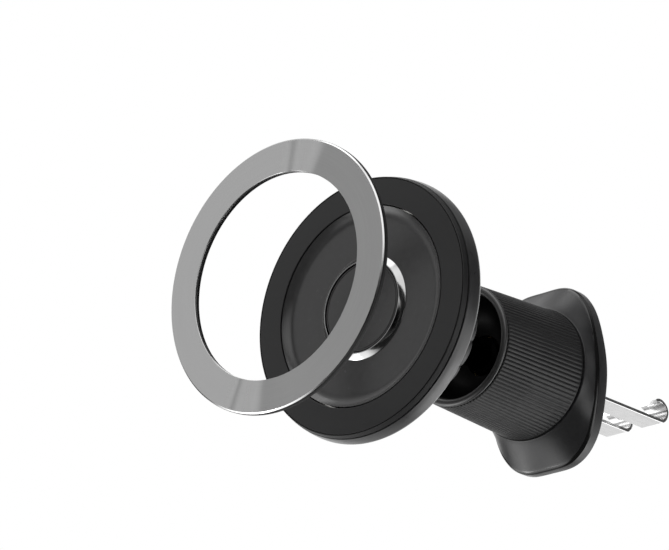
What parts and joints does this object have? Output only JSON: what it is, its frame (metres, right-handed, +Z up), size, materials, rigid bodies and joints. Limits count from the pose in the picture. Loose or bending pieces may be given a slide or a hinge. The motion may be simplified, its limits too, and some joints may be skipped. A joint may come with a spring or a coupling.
{
  "type": "car phone mount",
  "caption": "Magnetic phone mount for a car air vent: round head on a ball joint, knurled tightening sleeve, oval clamp base, twin steel vent hooks, loose steel phone ring.",
  "frame": {"origin": "centre of the vent pad's rear face, on the axis of the ball, sleeve and base", "axes": "+Y along the mount's axis, away from the driver and into the vent; +Z up, the flange's long way; +X to the driver's right"},
  "size_m": [0.056, 0.1207, 0.0565],
  "materials": {
    "black_satin_plastic": "satin moulded ABS with a faint fine texture, deep grey-black",
    "front_band_plastic": "soft-touch flat front band, near black",
    "face_plastic": "smooth semi-gloss dark grey",
    "chrome_trim": "polished bright ring",
    "grip_plastic": "matte black, fine lengthwise ribs",
    "inner_plastic": "matte black moulded",
    "pad_rubber": "matte black silicone rubber",
    "backing_rubber": "thin black film",
    "ring_steel": "turned satin steel with a bright chamfer",
    "hook_steel": "bright polished pressed steel",
    "rod_steel": "blackened turned steel",
    "screw_steel": "zinc plated",
    "spring_steel": "plain spring steel",
    "magnet_nickel": "nickel plated neodymium",
    "nylon": "natural nylon",
    "brass": "turned brass"
  },
  "bodies": {
    "base": {"clamp_base": "black_satin_plastic", "back_plate": "inner_plastic", "vent_pad": "pad_rubber", "plate_screw_1": "screw_steel", "plate_screw_2": "screw_steel", "retaining_clip": "spring_steel", "thrust_washer": "nylon"},
    "sleeve": {"knurled_sleeve": "grip_plastic", "funnel_insert": "inner_plastic", "drive_nut": "brass"},
    "rod": {"ball_rod": "rod_steel", "hook_fork": "hook_steel", "fork_rivet_1": "screw_steel", "fork_rivet_2": "screw_steel"},
    "seat_pad": {"ball_seat_pad": "nylon"},
    "seat_ring": {"ball_seat_ring": "nylon"},
    "head": {"front_cover": "front_band_plastic", "face_disc": "face_plastic", "chrome_ring": "chrome_trim", "centre_cap": "face_plastic", "magnet_01": "magnet_nickel", "magnet_02": "magnet_nickel", "magnet_03": "magnet_nickel", "magnet_04": "magnet_nickel", "magnet_05": "magnet_nickel", "magnet_06": "magnet_nickel", "magnet_07": "magnet_nickel", "magnet_08": "magnet_nickel", "magnet_09": "magnet_nickel", "magnet_10": "magnet_nickel", "magnet_11": "magnet_nickel", "magnet_12": "magnet_nickel", "yoke_ring": "spring_steel", "magnet_carrier": "inner_plastic", "rear_shell": "black_satin_plastic", "head_screw_1": "screw_steel", "head_screw_2": "screw_steel", "head_screw_3": "screw_steel"},
    "collar": {"collar_nut": "black_satin_plastic"},
    "ring": {"steel_ring": "ring_steel", "ring_backing": "backing_rubber"}
  },
  "joints": [
    {"name": "sleeve_turn", "type": "hinge", "parent": "base", "child": "sleeve", "pos_m": [0, -0.0198, 0], "axis": [0, 1, 0], "range_deg": [0, 720]},
    {"name": "hook_draw", "type": "slide", "parent": "base", "child": "rod", "axis": [0, -1, 0], "range_m": [0, 0.006]},
    {"name": "ball_tilt", "type": "hinge", "parent": "rod", "child": "seat_pad", "pos_m": [0, -0.0498, 0], "axis": [1, 0, 0], "range_deg": [-25, 25]},
    {"name": "ball_pan", "type": "hinge", "parent": "seat_pad", "child": "seat_ring", "pos_m": [0, -0.0498, 0], "axis": [0, 0, 1], "range_deg": [-25, 25]},
    {"name": "ball_spin", "type": "hinge", "parent": "seat_ring", "child": "head", "pos_m": [0, -0.0498, 0], "axis": [0, 1, 0], "continuous": true},
    {"name": "collar_turn", "type": "hinge", "parent": "head", "child": "collar", "pos_m": [0, -0.0488, 0], "axis": [0, 1, 0], "range_deg": [0, 120]},
    {"name": "ring_pull", "type": "slide", "parent": "head", "child": "ring", "axis": [0, 0.9994, 0.0336], "range_m": [0, 0.0238]}
  ],
  "couplings": [
    {"joint": "sleeve_turn", "follows": "hook_draw", "rad_per_m": 2094.4}
  ]
}
